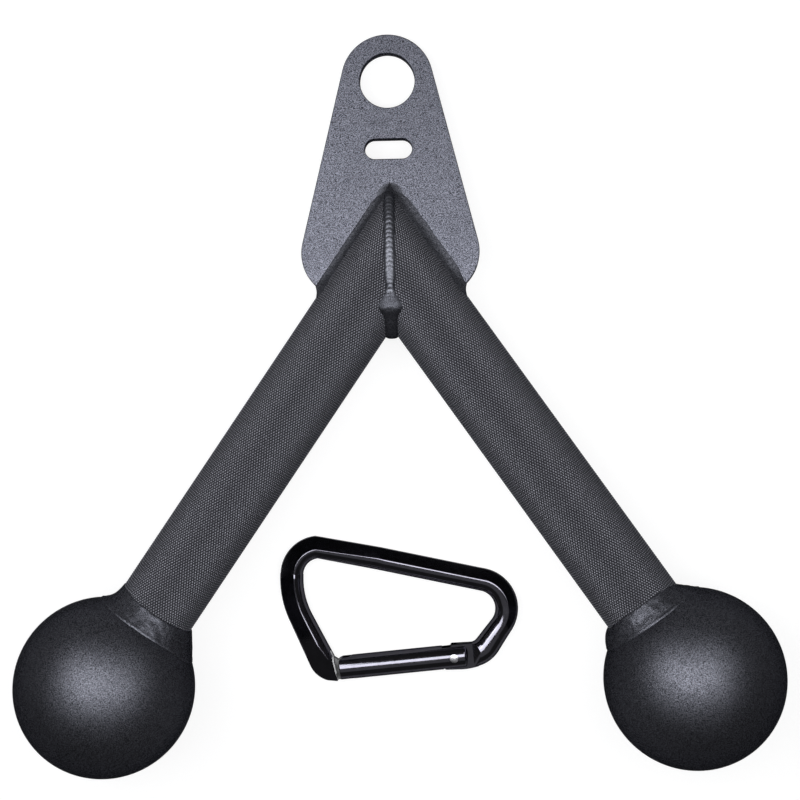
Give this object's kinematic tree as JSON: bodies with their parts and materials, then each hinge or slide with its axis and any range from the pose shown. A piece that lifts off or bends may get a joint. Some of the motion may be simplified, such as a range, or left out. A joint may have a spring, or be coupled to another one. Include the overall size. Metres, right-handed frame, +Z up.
{
  "type": "triceps pushdown attachment",
  "caption": "V-shaped cable pushdown handle: knurled grips with ball ends welded under an eye plate, with a loose spring-gated snap hook.",
  "frame": {"origin": "centre of the part's box in X and Y, on the surface that it lies on", "axes": "+X across the V from the left ball to the right ball, +Y from the balls towards the hanging eye, +Z up, out of the front of the handle"},
  "size_m": [0.3248, 0.3104, 0.0762],
  "materials": {
    "plate_coat": "satin speckled powder coat",
    "grip_coat": "satin coat over fine diamond knurl",
    "ball_coat": "satin powder coat",
    "weld_coat": "rippled weld bead under powder coat",
    "snap_hook_black": "glossy black anodised",
    "rivet_steel": "bright turned steel",
    "spring_steel": "drawn spring wire"
  },
  "bodies": {
    "handle": {"eye_plate": "plate_coat", "left_grip_tube": "grip_coat", "right_grip_tube": "grip_coat", "left_end_ball": "ball_coat", "right_end_ball": "ball_coat", "mitre_weld_front": "weld_coat", "mitre_weld_back": "weld_coat", "crotch_weld": "weld_coat", "left_plate_weld_front": "weld_coat", "right_plate_weld_front": "weld_coat", "left_plate_weld_back": "weld_coat", "right_plate_weld_back": "weld_coat", "left_ball_weld": "ball_coat", "right_ball_weld": "ball_coat"},
    "snap_hook": {"snap_hook_body": "snap_hook_black"},
    "snap_gate": {"gate": "snap_hook_black", "gate_rivet": "rivet_steel", "gate_latch_pin": "rivet_steel", "gate_spring": "spring_steel"},
    "plunger": {"gate_plunger": "rivet_steel"}
  },
  "joints": [
    {"name": "snap_hook_lift", "type": "slide", "parent": "handle", "child": "snap_hook", "axis": [0, 0, 1], "range_m": [0, 0.12]},
    {"name": "gate_hinge", "type": "hinge", "parent": "snap_hook", "child": "snap_gate", "pos_m": [0.0237, -0.11387, 0.00525], "axis": [0, 0, -1], "range_deg": [0, 27], "stiffness_Nm_per_rad": 0.12, "springref_deg": -45.84},
    {"name": "plunger_slide", "type": "slide", "parent": "snap_gate", "child": "plunger", "axis": [-0.9963, -0.0863, 0], "range_m": [0, 0.00095], "deforming": ["gate_spring"]}
  ],
  "couplings": [
    {"joint": "plunger_slide", "follows": "gate_hinge", "m_per_rad": 0.0019268}
  ]
}
